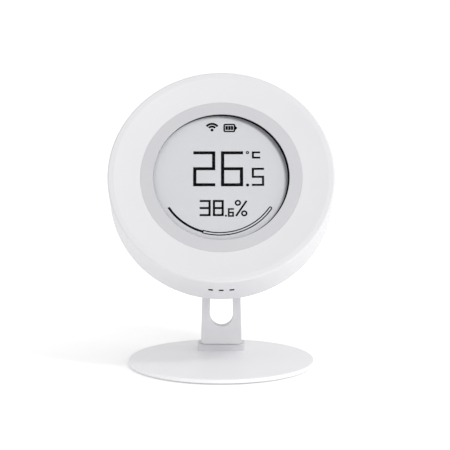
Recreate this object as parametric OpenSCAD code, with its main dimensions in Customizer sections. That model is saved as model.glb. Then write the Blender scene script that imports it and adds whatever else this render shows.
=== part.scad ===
// Round temperature and humidity sensor on a forked arm and a disc base.
// Millimetres, +Z up. The origin is the centre of the foot pad's underside, and the display faces -Y.

/* [Head shell] */
// Outer diameter of the round head
head_d = 80; // [72:1:96]
// Depth of the shell from the lip's plane to its rear face
shell_depth = 18.8; // [16:0.2:20]
// Wall thickness of the drum
shell_wall = 2; // [1.4:0.1:2.6]
// Thickness of the front wall behind the bezel's plane
front_wall = 1.6; // [1.2:0.1:2.2]
// Width of the flat lip around the face
lip_w = 2.2; // [1.2:0.1:4]
// Radius on the lip's outer edge
lip_edge_r = 0.6; // [0.2:0.1:1]
// Depth of the dished face at the bezel, below the lip
dish_depth = 1; // [0.6:0.1:1.6]
// Radius of the arc that the dished face follows
dish_arc_r = 113; // [60:1:200]
// Radius on the drum's rear edge
rear_edge_r = 1.6; // [1:0.1:2]
// Width of the flat land that the rear cover sits on
rear_land = 2.8; // [2.4:0.1:3.2]
// Length of the collar inside the drum's rear end
collar_len = 3.4; // [3:0.1:5]
// Radius of the bosses that carry the board
boss_r = 1.9; // [1.6:0.1:2.2]

/* [Vents] */
// Number of vents under the drum
vent_count = 3; // [1:1:7]
// Width of one vent around the drum
vent_w = 1.75; // [1:0.05:2.5]
// Length of one vent along the drum
vent_len = 1.6; // [0.8:0.1:3]
// Distance between vents around the drum
vent_pitch = 3.7; // [3:0.1:6]
// Distance of the vents behind the lip's plane
vent_s = 8.1; // [6:0.1:11]

/* [Display] */
// Width of the dished face between the lip and the bezel ring
face_w = 9.3; // [8.5:0.1:11]
// Width of the bezel ring around the display
bezel_w = 4.5; // [3:0.1:6]
// Width of the bezel's flange behind the front wall
bezel_flange_w = 0.6; // [0.4:0.1:0.8]
// Thickness of the bezel's flange
bezel_flange_t = 1; // [0.8:0.1:1.4]
// Distance of the window's face behind the bezel's face
window_recess = 0.5; // [0.3:0.1:0.8]
// Thickness of the window
window_t = 1; // [0.8:0.1:1.4]
// How far the window reaches under the bezel
window_seat = 1.2; // [0.8:0.1:1.6]
// Thickness of each of the panel's two glasses
glass_t = 1.1; // [0.7:0.1:1.3]
// Width of the ledge on the panel's front glass that the contact strips rest on
glass_ledge = 3.8; // [3:0.1:5]
// Thickness of the reflector sheet
reflector_t = 0.3; // [0.2:0.05:0.5]
// Thickness of the display frame's plate
frame_plate_t = 0.95; // [0.8:0.05:1.5]
// Width of the display frame's outer ring
frame_ring_w = 2.5; // [1.5:0.1:3.2]
// Length of a rubber contact strip
strip_len = 13.6; // [10:0.2:16]
// Thickness of a rubber contact strip
strip_t = 1.8; // [1.2:0.1:2]

/* [Main board] */
// Space between the display frame's plate and the board
board_gap = 1; // [0.6:0.1:2]
// Thickness of the board
board_t = 1.6; // [1:0.1:2]
// Space around the board inside the collar
board_edge_gap = 0.6; // [0.3:0.1:1]
// Space behind the board under the battery bay
part_gap = 1.1; // [1:0.1:2]
// Space on the board between the battery bay and the parts above and below it
chip_gap = 1.3; // [1:0.1:2]
// Size of the wireless module: width, height, thickness of its own board
module_size = [12, 12, 0.8]; // [0.5:0.1:14]
// Distance of the wireless module to the left of the middle
module_x = 14; // [12:0.5:14.5]
// Size of the wireless module's metal can
can_size = [10, 7.5, 2]; // [1:0.1:12]
// Distance of the can from the module's upper edge
can_inset = 1; // [0.5:0.1:3]
// Size of the control chip
control_size = [9, 9, 1.2]; // [0.8:0.1:12]
// Distance of the control chip to the right of the middle
control_x = 13; // [8:0.5:16]
// Size of the display driver chip
driver_size = [7, 7, 1]; // [0.8:0.1:8]
// Distance of the display driver chip to the right of the middle
driver_x = 8; // [6:0.5:14]
// Size of the sensor chip
sensor_size = [2.6, 2.6, 0.9]; // [0.6:0.1:4]
// Distance of the sensor chip from the board's lower edge
sensor_inset = 3; // [2:0.1:5]
// Space between the sensor chip and the gasket's upper wall
gasket_room = 1; // [0.5:0.1:2]
// Inner width of the gasket around the sensor chip
gasket_w = 9; // [6:0.5:12]
// Wall thickness of the gasket
gasket_wall = 1.4; // [1:0.1:2]
// Height of the gasket behind the board
gasket_h = 3; // [2:0.1:5]

/* [Batteries] */
// Diameter of a cell
cell_d = 10.5; // [10:0.1:11.5]
// Length of a cell with its nub
cell_len = 44.5; // [42:0.5:48]
// Diameter of a cell's nub
nub_d = 3.8; // [3:0.1:5]
// Length of a cell's nub
nub_len = 0.8; // [0.5:0.1:1.2]
// Space between the two cells
cell_gap = 0.5; // [0.3:0.1:2]
// Space around the cells in the bay
cell_room = 0.25; // [0.15:0.05:0.6]
// Height of the bay's centre above the head's centre
bay_rise = 3.2; // [2:0.1:4]
// Thickness of the bay's floor
bay_floor_t = 1.2; // [0.8:0.1:2]
// Thickness of the bay's walls
bay_wall = 1.4; // [1:0.1:2]
// Thickness of the contact metal
contact_t = 0.4; // [0.3:0.05:0.6]
// Height of the contact plates
contact_h = 8; // [6:0.5:9]
// How far the contact plates stay inside the cells' outline
contact_inset = 1; // [0.5:0.1:2]
// Reach of a contact's dimple towards a nub
dimple_reach = 0.5; // [0.3:0.1:1]
// Reach of a contact's leaf towards a cell's flat end
leaf_reach = 3.2; // [2:0.1:4]
// Width of a contact's leaf
leaf_w = 4; // [3:0.5:6]
// Width of a terminal's tail
tail_w = 3; // [2:0.5:5]
// Thickness of the battery door
door_t = 1.4; // [1.1:0.1:2]
// Width of the ledge that the door rests on
door_ledge = 1.2; // [0.8:0.1:1.3]
// Radius on the door's corners
door_corner_r = 2.5; // [1.5:0.1:4]
// Number of grip grooves on the door
grip_count = 3; // [1:1:6]
// Length of a grip groove
grip_len = 12; // [6:1:20]
// Width of a grip groove
grip_w = 0.8; // [0.4:0.1:1.2]
// Depth of a grip groove
grip_depth = 0.4; // [0.2:0.1:0.6]

/* [Rear cover] */
// Thickness of the cover's back wall
cover_wall = 1.8; // [1.4:0.1:2.4]
// How far the cover laps over the shell's rear land
cover_lap = 0.8; // [0.4:0.1:1]
// Radius on the cover's back edge
cover_edge_r = 1.5; // [0.5:0.1:1.7]
// Thickness of the spigot that centres the cover in the shell
spigot_t = 1.8; // [1.2:0.1:2.4]
// Length of the spigot
spigot_len = 2.3; // [1.5:0.1:2.8]
// Outer radius of the screw wells
well_r = 3; // [2.8:0.1:3.2]
// Space between the screw wells and the shell's collar
well_gap = 0.5; // [0.2:0.1:0.8]
// Distance of the screw wells' floors behind the board
well_floor = 5.7; // [4:0.1:8]
// Diameter of the rear button
button_d = 6; // [4:0.5:8]
// How far the button stands out of the back
button_proud = 0.3; // [0:0.1:1]
// Travel of the button
button_travel = 0.5; // [0.3:0.1:1]
// Diameter of the button's stem
stem_d = 3.2; // [2:0.1:4]
// Width and thickness of the collar that keeps the button in
button_collar = 0.8; // [0.5:0.1:1.5]
// Distance of the button's middle from the cover's inner wall
button_inset = 5.9; // [5:0.1:7]
// Angle of the button around the head's axis
button_angle = 120; // [112:1:124]
// Size of the push switch
switch_size = [6, 6, 3.5]; // [2:0.1:8]
// Diameter of the push switch's plunger
plunger_d = 3.4; // [2:0.1:4]
// Length of the push switch's plunger
plunger_len = 0.5; // [0.3:0.1:1.5]

/* [Screws] */
// Diameter of the screws' shanks
screw_d = 2; // [1.6:0.1:2.2]
// Diameter of the screws' heads
screw_head_d = 3.8; // [3.2:0.1:4]
// Height of the screws' heads
screw_head_h = 1.2; // [0.8:0.1:1.3]
// Width of the slot across a screw's head
screw_slot_w = 0.6; // [0.4:0.1:1]
// How deep the cover's and the board's screws bite into the shell's bosses
boss_bite = 2.6; // [1.5:0.1:3]
// How deep the lug's screws bite into the cover
lug_bite = 1.2; // [0.8:0.1:1.2]
// How deep the hinge block's screws bite into the block
block_bite = 1.8; // [1:0.1:2.2]

/* [Tilt hinge] */
// Lean of the face from upright
rest_tilt = 30; // [15:1:40]
// Height of the face's centre above the table
head_height = 68.2; // [66:0.2:80]
// Space between the battery bay and the lug's flange
lug_gap = 1.8; // [0.5:0.1:3]
// Space between the arm's ears and the cover's back
back_gap = 1.4; // [1:0.1:3]
// Radius of the lug's knuckle
knuckle_r = 3.1; // [2.4:0.1:3.4]
// Width of the lug's knuckle
lug_w = 6.6; // [5:0.2:8]
// Width of the lug's flange inside the cover
lug_flange_w = 18; // [16:0.5:22]
// Height of the lug's flange inside the cover
lug_flange_h = 12; // [10:0.5:13]
// Thickness of the lug's flange
lug_flange_t = 2; // [1.5:0.1:3]
// Distance between the lug's screws
lug_screw_pitch = 13; // [12:0.5:13.5]
// Diameter of the tilt pin
tilt_pin_d = 2.4; // [1.6:0.1:3]
// Thickness of the friction washers
washer_t = 0.25; // [0.15:0.05:0.5]
// Outer diameter of the friction washers
washer_d = 4; // [3.6:0.1:4.2]

/* [Arm] */
// Distance of the arm's middle behind the base's centre
arm_y = 13.1; // [10:0.1:18]
// Thickness of the arm from front to back
arm_t = 4.4; // [3.4:0.1:5]
// Width of the arm at its foot
arm_foot_w = 14.8; // [14:0.1:18]
// Width of each prong
prong_w = 2.9; // [2.4:0.1:3.6]
// Height of the lowest point of the gap's round floor above the arm's foot
slot_rise = 6.6; // [5.5:0.1:10]
// Radius on the foot's two corners
foot_corner_r = 1.2; // [0.5:0.1:2]
// Radius of the ears around the tilt pin
ear_r = 3.2; // [2.6:0.1:3.8]
// How far below the ears the gap's sides are upright
ear_run = 1; // [0.5:0.1:4]

/* [Base] */
// Diameter of the base plate
base_d = 66; // [60:1:90]
// Thickness of the base plate
base_t = 1.4; // [1.3:0.1:4]
// Radius on the base plate's edge
base_edge_r = 0.3; // [0.1:0.1:0.5]
// How far the foot pad stays inside the base plate's edge
pad_inset = 2; // [0.5:0.5:6]
// Thickness of the foot pad
pad_t = 0.5; // [0.3:0.1:2]
// How far the hinge block stands out beside the arm's foot
block_side = 1.15; // [0.5:0.05:4]
// How far the hinge block runs past its ears
block_tail = 0.1; // [0:0.1:3]
// Height of the hinge block
block_h = 2.5; // [2.4:0.1:5]
// How far the hinge block's front lies behind the arm's front
block_setback = 1.5; // [0:0.1:2]
// Radius on the hinge block's upright edges
block_corner_r = 0.6; // [0.3:0.1:2]
// Distance between the hinge block's screws
block_screw_pitch = 9; // [8:0.5:12]

/* [Lean hinge] */
// Dark gap between the arm's foot and the hinge block
foot_gap = 0.3; // [0.2:0.1:0.6]
// Space between the arm's back and the hinge block's ears
lean_ear_gap = 0.4; // [0.3:0.1:1]
// Space under the arm's knuckle
lean_under_gap = 0.2; // [0.2:0.1:0.6]
// Radius of the arm's knuckle on the lean pin
lean_knuckle_r = 2.1; // [1.8:0.1:2.6]
// Width of the arm's knuckle on the lean pin
lean_knuckle_w = 7.5; // [6:0.1:7.6]
// Radius of the hinge block's ears
lean_ear_r = 2.2; // [1.9:0.1:2.8]
// Width of each of the hinge block's ears
lean_ear_w = 2.9; // [2:0.1:3.5]
// Diameter of the lean pin
lean_pin_d = 2; // [1.4:0.1:2.4]
// Angle at which the arm's heel stops the backward lean
lean_stop = 21; // [10:1:30]

/* [Clearances] */
// Space between pieces that are pushed together
fit_gap = 0.1; // [0.05:0.01:0.2]
// Space around a pin in the piece that turns on it
run_gap = 0.05; // [0.02:0.01:0.1]
// Space around a pin or a screw in the piece that holds it
hold_gap = 0.02; // [0.01:0.01:0.04]
// Free play beside each friction washer
washer_play = 0.05; // [0.02:0.01:0.1]
// Space around the battery door
door_gap = 0.15; // [0.1:0.01:0.3]
// Space around the button
button_gap = 0.15; // [0.1:0.01:0.3]

/* [Hidden] */
$fn = 96;

// A cut runs this far past the face that it opens
over = 1;
// A piece that is fused to another starts this far inside it
sink = 0.4;

// Radii about the head's axis, from the drum's wall to its middle
head_r = head_d / 2;
drum_inner_r = head_r - shell_wall;
lip_inner_r = head_r - lip_w;
collar_r = head_r - rear_edge_r - rear_land;
cover_r = collar_r + cover_lap;
spigot_r = collar_r - fit_gap;
cover_inner_r = spigot_r - spigot_t;
board_r = collar_r - board_edge_gap;
boss_ring_r = collar_r - well_gap - well_r;
bezel_r = lip_inner_r - face_w;
flange_r = bezel_r + bezel_flange_w;
window_r = bezel_r - bezel_w;
seat_r = window_r + window_seat;
rear_glass_h = 2 * (seat_r - glass_ledge);

// Depths behind the lip's plane, from the face to the back
front_s = dish_depth + front_wall;
flange_s = front_s + bezel_flange_t;
window_s = dish_depth + window_recess;
panel_s = window_s + window_t;
rear_glass_s = panel_s + glass_t;
reflector_s = rear_glass_s + glass_t;
plate_s = reflector_s + reflector_t;
board_s = plate_s + frame_plate_t + board_gap;
board_back_s = board_s + board_t;
bay_floor_s = board_back_s + part_gap + bay_floor_t;
cell_axis_s = bay_floor_s + cell_room + cell_d / 2;
door_inner_s = cell_axis_s + cell_d / 2 + cell_room;
back_s = door_inner_s + door_t;
back_inner_s = back_s - cover_wall;
well_s = board_back_s + well_floor;

// Battery bay, measured from the head's centre
bay_half_w = (cell_len + 2 * contact_t + dimple_reach + leaf_reach) / 2;
bay_h = 2 * cell_d + cell_gap + 2 * cell_room;
bay_low = bay_rise - bay_h / 2;
bay_high = bay_rise + bay_h / 2;
cell_pitch = cell_d + cell_gap;
contact_x = bay_half_w - contact_t;

// Places of the screws around the head's axis
cover_screw_at = [for (a = [90, 210, 330]) boss_ring_r * [cos(a), sin(a)]];
board_screw_at = [for (a = [40, 140]) boss_ring_r * [cos(a), sin(a)]];
strip_p = (rear_glass_h / 2 + seat_r) / 2;
boss_tip_s = board_s - boss_bite;

// Parts on the board, above and below the battery bay
below_bay = bay_low - bay_wall - chip_gap;
above_bay = bay_high + bay_wall + chip_gap;
module_at = [-module_x, below_bay - module_size.y / 2];
control_at = [control_x, below_bay - control_size.y / 2];
driver_at = [driver_x, above_bay + driver_size.y / 2];
sensor_at = [0, -board_r + sensor_inset];
button_at = (cover_inner_r - button_inset) * [cos(button_angle), sin(button_angle)];
plunger_s = board_back_s + switch_size.z + plunger_len;

// Tilt pin, seen from the head and then from the table
pivot_p = bay_low - bay_wall - lug_gap - lug_flange_h / 2;
pivot_s = back_s + back_gap + ear_r;
head_y = arm_y - pivot_p * sin(rest_tilt) - pivot_s * cos(rest_tilt);
pivot_z = head_height + pivot_p * cos(rest_tilt) - pivot_s * sin(rest_tilt);

// Heights and places of the stand
base_top = pad_t + base_t;
block_top = base_top + block_h;
foot_z = block_top + foot_gap;
slot_z = foot_z + slot_rise;
arm_front = arm_y - arm_t / 2;
arm_back = arm_y + arm_t / 2;
block_front = arm_front + block_setback;
lean_y = arm_back + lean_ear_gap + lean_ear_r;
lean_rise = lean_under_gap + lean_knuckle_r;
lean_z = block_top + lean_rise;
block_back = lean_y + lean_ear_r + block_tail;
block_w = arm_foot_w + 2 * block_side;
lean_ear_x = lean_knuckle_w / 2 + washer_t + washer_play;
block_screw_at = [for (side = [-1, 1]) [side * block_screw_pitch / 2, (block_front + block_back) / 2]];

// Widths of the fork at its foot, in its gap and at the ears
ear_x = lug_w / 2 + washer_t + washer_play;
arm_top_w = 2 * (ear_x + prong_w);
arm_taper = (arm_foot_w - arm_top_w) / 2 / (pivot_z - foot_z);
slot_half = (arm_foot_w / 2 - prong_w - arm_taper * slot_rise) / (1 + arm_taper);
ear_low = pivot_z - ear_r - ear_run;

// The heel meets the hinge block when its corner has turned by the stop's angle
heel_len = lean_ear_r;
heel_low = (lean_rise - heel_len * sin(lean_stop)) / cos(lean_stop);

// Low and high ends of a stretch around its middle
function span(middle, half) = [middle - half, middle + half];

// Places a shape in the head: x to the right, p up the face, and z out of the face
module in_head() {
    translate([0, head_y, head_height]) rotate([90 - rest_tilt, 0, 0]) children();
}

// Block in the head between two depths behind the lip's plane
module slab(x, p, s) {
    translate([x[0], p[0], -s[1]]) cube([x[1] - x[0], p[1] - p[0], s[1] - s[0]]);
}

// Block in the head of a given size, standing on the board's back
module on_board(at, size) {
    translate([at.x - size.x / 2, at.y - size.y / 2, -board_back_s - size.z]) cube(size);
}

// Round bar along the head's axis between two depths
module rod(at, s, r) {
    translate([at.x, at.y, -s[1]]) cylinder(h = s[1] - s[0], r = r);
}

// Round bar along X at a place behind and above the origin
module crossbar(y, z, x, r) {
    translate([x[0], y, z]) rotate([0, 90, 0]) cylinder(h = x[1] - x[0], r = r);
}

// Flat ring along X, on both sides of the middle
module ring_pair(y, z, x, inner_r, outer_r) {
    for (side = [0, 1]) mirror([side, 0, 0]) difference() {
        crossbar(y, z, x, outer_r);
        crossbar(y, z, [x[0] - over, x[1] + over], inner_r);
    }
}

// Rectangle with round corners, between two corners
module round_rect(low, high, r) {
    translate([low.x + r, low.y]) square([high.x - low.x - 2 * r, high.y - low.y]);
    translate([low.x, low.y + r]) square([high.x - low.x, high.y - low.y - 2 * r]);
    for (x = [low.x + r, high.x - r], y = [low.y + r, high.y - r]) translate([x, y]) circle(r);
}

// Screw along the head's axis, with its head behind the seat
module head_screw(at, seat_s, len) {
    difference() {
        union() {
            rod(at, [seat_s, seat_s + screw_head_h], screw_head_d / 2);
            rod(at, [seat_s - len, seat_s + screw_head_h / 2], screw_d / 2);
        }
        translate([at.x - screw_head_d, at.y - screw_slot_w / 2, -seat_s - screw_head_h - over])
            cube([2 * screw_head_d, screw_slot_w, over + screw_head_h / 2]);
    }
}

// Hole for a screw along the head's axis, from its tip to its seat
module screw_hole(at, s, gap) {
    rod(at, s, screw_d / 2 + gap);
}

// Countersunk screw from below, or with a gap the hole that takes it
module countersunk(gap) {
    cone_h = (screw_head_d - screw_d) / 2;
    translate([0, 0, pad_t]) {
        cylinder(h = cone_h, r1 = screw_head_d / 2 + gap, r2 = screw_d / 2 + gap);
        cylinder(h = base_t + block_bite + gap, r = screw_d / 2 + gap);
    }
}

// Section of the front shell, radius to the right and depth downwards
module shell_section() {
    chord = [lip_inner_r - bezel_r, dish_depth];
    middle = [(lip_inner_r + bezel_r) / 2, -dish_depth / 2];
    rise = sqrt(dish_arc_r * dish_arc_r - chord * chord / 4);
    difference() {
        union() {
            translate([0, -shell_depth]) square([head_r - rear_edge_r, shell_depth]);
            translate([0, -shell_depth + rear_edge_r])
                square([head_r, shell_depth - rear_edge_r - lip_edge_r]);
            translate([0, -lip_edge_r]) square([head_r - lip_edge_r, lip_edge_r]);
            translate([head_r - lip_edge_r, -lip_edge_r]) circle(lip_edge_r);
            translate([head_r - rear_edge_r, -shell_depth + rear_edge_r]) circle(rear_edge_r);
        }
        // Opening for the bezel
        translate([-over, -shell_depth - over]) square([bezel_r + over, shell_depth + 2 * over]);
        // Room behind the front wall, and the narrower way in through the collar
        translate([0, -shell_depth + collar_len])
            square([drum_inner_r, shell_depth - collar_len - front_s]);
        translate([0, -shell_depth - over]) square([collar_r, shell_depth + over - front_s]);
        // Dished face
        intersection() {
            translate(middle + rise * [-chord.y, chord.x] / norm(chord)) circle(dish_arc_r, $fn = 720);
            translate([0, -front_s]) square([lip_inner_r, front_s + over]);
        }
    }
}

module front_shell() {
    color("whitesmoke") in_head() difference() {
        union() {
            rotate_extrude() shell_section();
            for (at = concat(cover_screw_at, board_screw_at)) rod(at, [front_s - sink, board_s], boss_r);
        }
        for (at = concat(cover_screw_at, board_screw_at))
            screw_hole(at, [boss_tip_s - fit_gap, board_s + over], hold_gap);
        for (i = [0 : vent_count - 1]) rotate((i - (vent_count - 1) / 2) * vent_pitch / head_r * 180 / PI)
            slab(span(0, vent_w / 2), [-head_r - over, -drum_inner_r + over],
                 span(vent_s, vent_len / 2));
    }
}

module bezel_ring() {
    neck_r = bezel_r - fit_gap;
    bore_r = seat_r + fit_gap;
    color("lightgray") in_head() rotate_extrude() polygon([
        [window_r, -dish_depth], [neck_r, -dish_depth], [neck_r, -front_s], [flange_r, -front_s],
        [flange_r, -flange_s], [bore_r, -flange_s], [bore_r, -window_s], [window_r, -window_s]
    ]);
}

module display_window() {
    color("gainsboro") in_head() rod([0, 0], [window_s, panel_s], seat_r);
}

// Disc behind the display, cut flat above and below
module cut_disc(s, r) {
    intersection() {
        rod([0, 0], s, r);
        slab(span(0, r), span(0, rear_glass_h / 2), s);
    }
}

module lcd_panel() {
    color("silver") in_head() {
        rod([0, 0], [panel_s, rear_glass_s], seat_r);
        cut_disc([rear_glass_s, reflector_s], seat_r);
    }
}

module reflector_sheet() {
    color("white") in_head() cut_disc([reflector_s, plate_s], seat_r);
}

// The two contact strips, or with a gap the slots that they pass through
module strips(s, gap) {
    for (side = [-1, 1]) slab(
        span(0, strip_len / 2 + gap),
        span(side * strip_p, strip_t / 2 + gap), s);
}

module display_frame() {
    color("white") in_head() difference() {
        rod([0, 0], [flange_s, board_s], flange_r);
        rod([0, 0], [flange_s - over, plate_s], seat_r + fit_gap);
        rod([0, 0], [plate_s + frame_plate_t, board_s + over], flange_r - frame_ring_w);
        strips([plate_s - over, board_s + over], fit_gap);
    }
}

module contact_strips() {
    color("dimgray") in_head() strips([rear_glass_s, board_s], 0);
}

module main_board() {
    color("seagreen") in_head() difference() {
        rod([0, 0], [board_s, board_back_s], board_r);
        for (at = concat(cover_screw_at, board_screw_at))
            screw_hole(at, [board_s - over, board_back_s + over], fit_gap);
    }
}

module wireless_module() {
    color("dimgray") in_head() on_board(module_at, module_size);
    can_p = module_at.y + (module_size.y - can_size.y) / 2 - can_inset;
    color("silver") in_head()
        on_board([module_at.x, can_p], [can_size.x, can_size.y, module_size.z + can_size.z]);
}

module control_chip() {
    color("black") in_head() on_board(control_at, control_size);
}

module driver_chip() {
    color("black") in_head() on_board(driver_at, driver_size);
}

module sensor_chip() {
    color("dimgray") in_head() on_board(sensor_at, sensor_size);
}

// Three walls around the sensor chip, open towards the vents
module sensor_gasket() {
    outer = gasket_w / 2 + gasket_wall;
    top = sensor_at.y + sensor_size.y / 2 + gasket_room;
    low = -sqrt(pow(drum_inner_r - fit_gap, 2) - outer * outer);
    s = [board_back_s, board_back_s + gasket_h];
    color("darkgray") in_head() difference() {
        slab(span(0, outer), [low, top + gasket_wall], s);
        slab(span(0, gasket_w / 2), [low - over, top], [s[0] - over, s[1] + over]);
    }
}

module push_switch() {
    color("dimgray") in_head() {
        on_board(button_at, switch_size);
        rod(button_at, [board_back_s + switch_size.z - sink, plunger_s], plunger_d / 2);
    }
}

module board_screws() {
    color("silver") in_head() for (at = board_screw_at) head_screw(at, board_back_s, board_t + boss_bite);
}

// Section of the rear cover, radius to the right and depth downwards
module cover_section() {
    difference() {
        union() {
            translate([0, -back_s]) square([cover_r - cover_edge_r, back_s - shell_depth]);
            translate([0, -back_s + cover_edge_r]) square([cover_r, back_s - shell_depth - cover_edge_r]);
            translate([cover_r - cover_edge_r, -back_s + cover_edge_r]) intersection() {
                circle(cover_edge_r);
                translate([-cover_edge_r, -cover_edge_r]) square([2 * cover_edge_r, cover_edge_r]);
            }
            translate([0, -shell_depth - sink]) square([spigot_r, spigot_len + sink]);
        }
        translate([-over, -back_inner_s])
            square([cover_inner_r + over, back_inner_s - shell_depth + spigot_len + over]);
    }
}

// Outline of the door's recess, or with a gap the door that lies in it
module door_outline(gap) {
    edge = door_ledge - gap;
    round_rect([-bay_half_w - edge, bay_low - edge], [bay_half_w + edge, bay_high + edge], door_corner_r);
}

// Places of the two terminals' tails up the face
function tail_p(upper) = bay_rise + (upper ? 1 : -1) * cell_pitch / 2;

module rear_cover() {
    bay_x = bay_half_w + bay_wall;
    color("whitesmoke") in_head() difference() {
        union() {
            rotate_extrude() cover_section();
            slab(span(0, bay_x), [bay_low - bay_wall, bay_high + bay_wall],
                 [bay_floor_s - bay_floor_t, back_inner_s + sink]);
            for (at = cover_screw_at) rod(at, [board_back_s, back_inner_s + sink], well_r);
        }
        // Bay and the door's recess around its mouth
        slab(span(0, bay_half_w), [bay_low, bay_high], [bay_floor_s, back_s + over]);
        translate([0, 0, -back_s - over]) linear_extrude(door_t + over) door_outline(0);
        for (upper = [false, true]) slab(
            [contact_x - fit_gap, bay_half_w], span(tail_p(upper), tail_w / 2 + fit_gap),
            [bay_floor_s - bay_floor_t - over, bay_floor_s + over]);
        // Screws
        for (at = cover_screw_at) {
            screw_hole(at, [board_back_s - over, well_s + over], fit_gap);
            rod(at, [well_s, back_s + over], screw_head_d / 2 + fit_gap);
        }
        for (side = [-1, 1]) screw_hole(
            [side * lug_screw_pitch / 2, pivot_p],
            [back_inner_s - over, back_inner_s + lug_bite + fit_gap], hold_gap);
        // Ways out for the lug and the button
        slab(span(0, lug_w / 2 + fit_gap), span(pivot_p, knuckle_r + fit_gap),
             [back_inner_s - over, back_s + over]);
        rod(button_at, [back_inner_s - over, back_s + over], button_d / 2 + button_gap);
    }
}

module cover_screws() {
    color("silver") in_head() for (at = cover_screw_at) head_screw(at, well_s, well_s - boss_tip_s);
}

// Bar along X in the head at a height up the face and a depth
module head_crossbar(p, s, x, r) {
    translate([x[0], p, -s]) rotate([0, 90, 0]) cylinder(h = x[1] - x[0], r = r);
}

// Contact plate against the bay's end at +X
module contact_plate(p, half_h) {
    slab([contact_x, bay_half_w], span(p, half_h), span(cell_axis_s, contact_h / 2));
}

// Round dimple that meets a nub
module contact_dimple(p) {
    head_crossbar(p, cell_axis_s, [contact_x - dimple_reach, contact_x + contact_t / 2], nub_d / 2);
}

// Bowed leaf that meets a cell's flat end
module contact_leaf(p) {
    half = contact_h / 2;
    tip = half / 4;
    slope = leaf_reach / (half - tip);
    inner = leaf_reach - contact_t;
    bow = [
        [0, -half], [-leaf_reach, -tip], [-leaf_reach, tip], [0, half],
        [0, half - contact_t], [-inner, half - contact_t - inner / slope],
        [-inner, -half + contact_t + inner / slope], [0, -half + contact_t]
    ];
    translate([contact_x, p + leaf_w / 2, -cell_axis_s]) rotate([90, 0, 0])
        linear_extrude(leaf_w) polygon(bow);
}

module bridge_contact() {
    color("silver") in_head() mirror([1, 0, 0]) {
        contact_plate(bay_rise, (cell_pitch + cell_d) / 2 - contact_inset);
        contact_dimple(bay_rise + cell_pitch / 2);
        contact_leaf(bay_rise - cell_pitch / 2);
    }
}

module terminal_contacts() {
    color("silver") in_head() {
        for (upper = [false, true]) {
            contact_plate(tail_p(upper), cell_d / 2 - contact_inset);
            slab([contact_x, bay_half_w], span(tail_p(upper), tail_w / 2),
                 [board_back_s, cell_axis_s]);
        }
        contact_dimple(tail_p(false));
        contact_leaf(tail_p(true));
    }
}

// Cell along X whose nub points to +X
module cell(p) {
    tip = contact_x - dimple_reach;
    head_crossbar(p, cell_axis_s, [tip - cell_len, tip - nub_len], cell_d / 2);
    head_crossbar(p, cell_axis_s, [tip - nub_len - sink, tip], nub_d / 2);
}

module upper_cell() {
    color("steelblue") in_head() mirror([1, 0, 0]) cell(bay_rise + cell_pitch / 2);
}

module lower_cell() {
    color("steelblue") in_head() cell(bay_rise - cell_pitch / 2);
}

module battery_door() {
    color("whitesmoke") in_head() difference() {
        translate([0, 0, -back_s]) linear_extrude(door_t) door_outline(door_gap);
        for (i = [1 : grip_count]) slab(
            span(0, grip_len / 2), span(bay_high - 2 * i * grip_w, grip_w / 2),
            [back_s - grip_depth, back_s + over]);
    }
}

module rear_button() {
    collar_s = back_inner_s - button_gap;
    color("whitesmoke") in_head() {
        rod(button_at, [collar_s - sink, back_s + button_proud], button_d / 2);
        rod(button_at, [collar_s - button_collar, collar_s], button_d / 2 + button_collar);
        rod(button_at, [plunger_s + button_travel + fit_gap, collar_s - sink], stem_d / 2);
    }
}

module hinge_lug() {
    seat_s = back_inner_s - lug_flange_t;
    color("whitesmoke") in_head() difference() {
        union() {
            slab(span(0, lug_flange_w / 2), span(pivot_p, lug_flange_h / 2), [seat_s, back_inner_s]);
            slab(span(0, lug_w / 2), span(pivot_p, knuckle_r), [seat_s, pivot_s]);
            head_crossbar(pivot_p, pivot_s, span(0, lug_w / 2), knuckle_r);
        }
        head_crossbar(pivot_p, pivot_s, span(0, lug_w / 2 + over), tilt_pin_d / 2 + run_gap);
        for (side = [-1, 1]) screw_hole(
            [side * lug_screw_pitch / 2, pivot_p], [seat_s - over, back_inner_s + over], fit_gap);
    }
}

// The lug's screws point backwards, so their heads lie on the flange's front
module lug_screws() {
    seat_s = back_inner_s - lug_flange_t;
    color("silver") in_head() for (side = [-1, 1])
        translate([0, 0, -2 * seat_s]) mirror([0, 0, 1])
            head_screw([side * lug_screw_pitch / 2, pivot_p], seat_s, lug_flange_t + lug_bite);
}

// Half of the arm's width at a height
function arm_half_w(z) = arm_foot_w / 2 - arm_taper * (z - foot_z);

// Front outline of the arm, with x to the right and z up
module arm_outline() {
    shoulder_z = foot_z + foot_corner_r;
    inset = arm_foot_w / 2 - foot_corner_r;
    translate([-inset, foot_z]) square([2 * inset, foot_corner_r]);
    for (side = [-1, 1]) translate([side * inset, shoulder_z]) circle(foot_corner_r);
    polygon([
        [-arm_foot_w / 2, shoulder_z], [arm_foot_w / 2, shoulder_z],
        [arm_half_w(pivot_z), pivot_z], [-arm_half_w(pivot_z), pivot_z]
    ]);
}

// Gap between the prongs, with a round floor and upright sides between the ears
module slot_outline() {
    round_z = slot_z + slot_half;
    top_z = pivot_z + ear_r + over;
    translate([0, round_z]) circle(slot_half);
    polygon([
        [-slot_half, round_z], [slot_half, round_z], [ear_x, ear_low],
        [ear_x, top_z], [-ear_x, top_z], [-ear_x, ear_low]
    ]);
}

// Extrudes a front outline from one distance behind the origin to another
module upright(y) {
    translate([0, y[1], 0]) rotate([90, 0, 0]) linear_extrude(y[1] - y[0]) children();
}

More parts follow.
